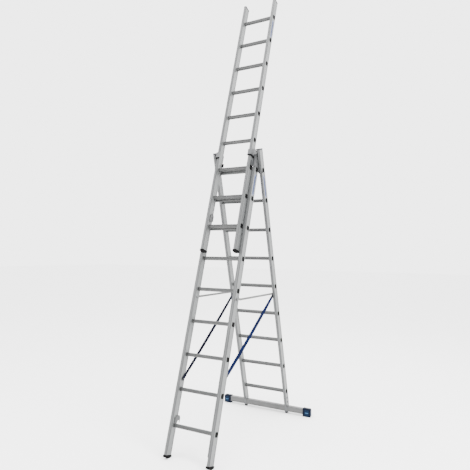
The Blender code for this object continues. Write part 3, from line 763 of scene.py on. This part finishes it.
def end_shoe(side_name, side):
    """One shoe with a panel on its end, and a panel and a pale rib, a painted highlight, on its front and
    back.
    """
    place = Matrix.Translation((side * SHOE_START, BAR_Y, 0.0)) @ facing(side)
    shoe = put(f"shoe_look_{side_name}", SHOE, REAR.body, place)
    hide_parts(f"traverse_shoe_{side_name}")
    middle_x = side * (SHOE_START + SHOE_END + SHOE_LIP) / 2
    middle_z = SHOE_HEIGHT / 2
    place = Matrix.Translation((side * SHOE_END, BAR_Y, middle_z)) @ facing(side)
    shoe_panel(f"shoe_panel_end_{side_name}", END_PANEL_SIZE, place)
    for face_name, y_side in FRONT_AND_BACK:
        turn = Matrix.Rotation(y_side * math.pi / 2, 4, "Z")
        place = Matrix.Translation((middle_x, BAR_Y + y_side * SHOE_WIDTH / 2, middle_z)) @ turn
        shoe_panel(f"shoe_panel_{face_name}_{side_name}", SIDE_PANEL_SIZE, place)
        # A pale rib as painted highlight.
        highlight_rib = block(f"shoe_grip_{face_name}_{side_name}", HIGHLIGHT_RIB_SIZE, 0.001, PALE_BLUE)
        put(f"shoe_grip_{face_name}_{side_name}", highlight_rib, REAR.body, place)


SHOE = shoe_mesh()

for side_name, side in SIDES:
    bar_buffer(side_name, side)
    bar_clamp(side_name, side)
    end_shoe(side_name, side)

# ---------------------------------------------------------------- straps
STRAP_WIDTH = 0.028
STRAP_THICKNESS = 0.0016
STRAP_STATIONS = 48
STRAP_SAG = 0.010
STRAP_TWISTS = {"left": 0.42, "right": 1.0}
# The left strap's darker webbing is painted shade.
STRAP_FINISHES = {"left": END_AND_SHADE_WEBBING, "right": WEBBING}
# The ends in the right half of each section: how far below the top rung, and where across it.
STRAP_REAR_DROP = 1.196
STRAP_REAR_X = 0.2168
STRAP_REAR_Y = REAR.line_y - 0.006
STRAP_FRONT_DROP = 1.885
STRAP_FRONT_X = 0.1822
PAD_SIZE = (0.0034, 0.031, 0.056)
PAD_FROM_BOLT = 0.030
# Each end's name and section, its pad's and its bolt's distance from the stile's inner face.
STRAP_ENDS = (("rear", REAR, 0.0022, 0.0030), ("front", FRONT, 0.0040, 0.0026))


def strap_mesh(name, upper, lower, twist, finish):
    """A flat band that lies against both stiles, sags a little and twists between them."""
    along = (lower - upper).normalized()
    across = Vector((1, 0, 0))
    corners = rounded_rectangle(STRAP_THICKNESS, STRAP_WIDTH, 0.0006, 2)
    loops = []
    for station in range(STRAP_STATIONS + 1):
        share = station / STRAP_STATIONS
        bow = math.sin(math.pi * share)
        middle = upper.lerp(lower, share) + Vector((0, 0, -STRAP_SAG * bow))
        turn = Matrix.Rotation(twist * bow ** 0.7, 3, along)
        thin = turn @ (across - along * across.dot(along)).normalized()
        wide = along.cross(thin)
        loops.append([middle + thin * a + wide * b for a, b in corners])
    return mesh_of(name, loops, finish)


for side_name, side in SIDES:
    upper_spot = Vector((side * STRAP_REAR_X, STRAP_REAR_Y, REAR.top_rung_z - STRAP_REAR_DROP))
    lower_spot = Vector((side * STRAP_FRONT_X, FRONT.stile_y, FRONT.top_rung_z - STRAP_FRONT_DROP))
    upper = REAR.frame @ upper_spot
    lower = FRONT.frame @ lower_spot
    name = f"spreader_strap_look_{side_name}"
    mesh = strap_mesh(name, upper, lower, STRAP_TWISTS[side_name], STRAP_FINISHES[side_name])
    strap = bpy.data.objects.new(name, mesh)
    bpy.context.scene.collection.objects.link(strap)
    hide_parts(f"spreader_strap_{side_name}")
    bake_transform(strap)
    slope = (lower - upper).normalized()
    turn = Matrix.Rotation(math.atan2(slope.z, slope.y) + math.pi / 2, 4, "X")
    for end_name, section, pad_inset, bolt_inset in STRAP_ENDS:
        bolt_point = upper.copy() if section is REAR else lower.copy()
        inward = slope if section is REAR else -slope
        centre = bolt_point + inward * PAD_FROM_BOLT
        centre.x = side * (section.inner - pad_inset)
        place = Matrix.Translation(centre) @ turn
        pad = block(f"strap_end_{end_name}_{side_name}", PAD_SIZE, 0.0008, END_AND_SHADE_WEBBING)
        put(f"strap_end_{end_name}_{side_name}", pad, section.body, place)
        bolt_point.x = side * (section.inner - bolt_inset)
        place = Matrix.Translation(bolt_point) @ facing(-side)
        put(f"strap_bolt_{end_name}_{side_name}", BOLT, section.body, place)

# ---------------------------------------------------------------- stage and lights
FLOOR_HALF = 40.0
WORLD_STRENGTH = 4.2


def area_light(name, place, aim, size, power):
    data = bpy.data.lights.new(name, "AREA")
    data.shape = "RECTANGLE"
    data.size = size[0]
    data.size_y = size[1]
    data.energy = power
    light = bpy.data.objects.new(name, data)
    light.location = place
    light.rotation_euler = (Vector(aim) - Vector(place)).to_track_quat("-Z", "Y").to_euler()
    bpy.context.scene.collection.objects.link(light)


def floor_plane():
    mesh = bpy.data.meshes.new("studio_floor")
    corners = [(FLOOR_HALF * x, FLOOR_HALF * y, 0.0) for x, y in ((-1, -1), (1, -1), (1, 1), (-1, 1))]
    mesh.from_pydata(corners, [], [(0, 1, 2, 3)])
    mesh.materials.append(new_material("studio_floor", (0.93, 0.93, 0.93), 0.9, 0.0))
    plane = bpy.data.objects.new("studio_floor", mesh)
    bpy.context.scene.collection.objects.link(plane)
    return plane


floor_plane()

world = bpy.data.worlds.new("studio")
bpy.context.scene.world = world
world.use_nodes = True
background = world.node_tree.nodes["Background"]
background.inputs["Color"].default_value = (1.0, 1.0, 1.0, 1.0)
background.inputs["Strength"].default_value = WORLD_STRENGTH

area_light("key", (4.6, -1.4, 4.6), aim=(0.0, 0.0, 2.0), size=(2.4, 3.2), power=380.0)
area_light("top", (0.4, -0.8, 7.6), aim=(0.0, 0.0, 1.0), size=(3.0, 3.0), power=420.0)
area_light("fill", (-3.2, -4.6, 4.2), aim=(0.0, 0.0, 1.4), size=(2.0, 3.0), power=90.0)
area_light("back", (0.6, 4.6, 4.6), aim=(0.0, 0.0, 2.0), size=(3.0, 2.0), power=60.0)

# ---------------------------------------------------------------- camera, where a fit to the photo puts it
EYE = Vector((2.0113, -3.7266, 1.6256))
AZIMUTH = 0.494966
ELEVATION = -0.038892
ROLL = 0.012108
SENSOR_WIDTH = 36.0
LENS = 35.23

camera_data = bpy.data.cameras.new("camera")
camera_data.sensor_width = SENSOR_WIDTH
camera_data.lens = LENS
camera = bpy.data.objects.new("camera", camera_data)
forward = Vector((
    -math.sin(AZIMUTH) * math.cos(ELEVATION),
    math.cos(AZIMUTH) * math.cos(ELEVATION),
    -math.sin(ELEVATION),
))
right = forward.cross(Vector((0, 0, 1))).normalized()
up = right.cross(forward)
image_right = right * math.cos(ROLL) + up * math.sin(ROLL)
image_up = up * math.cos(ROLL) - right * math.sin(ROLL)
axes = Matrix((image_right, image_up, -forward)).transposed()
camera.matrix_world = Matrix.Translation(EYE) @ axes.to_4x4()
bpy.context.scene.collection.objects.link(camera)
bpy.context.scene.camera = camera
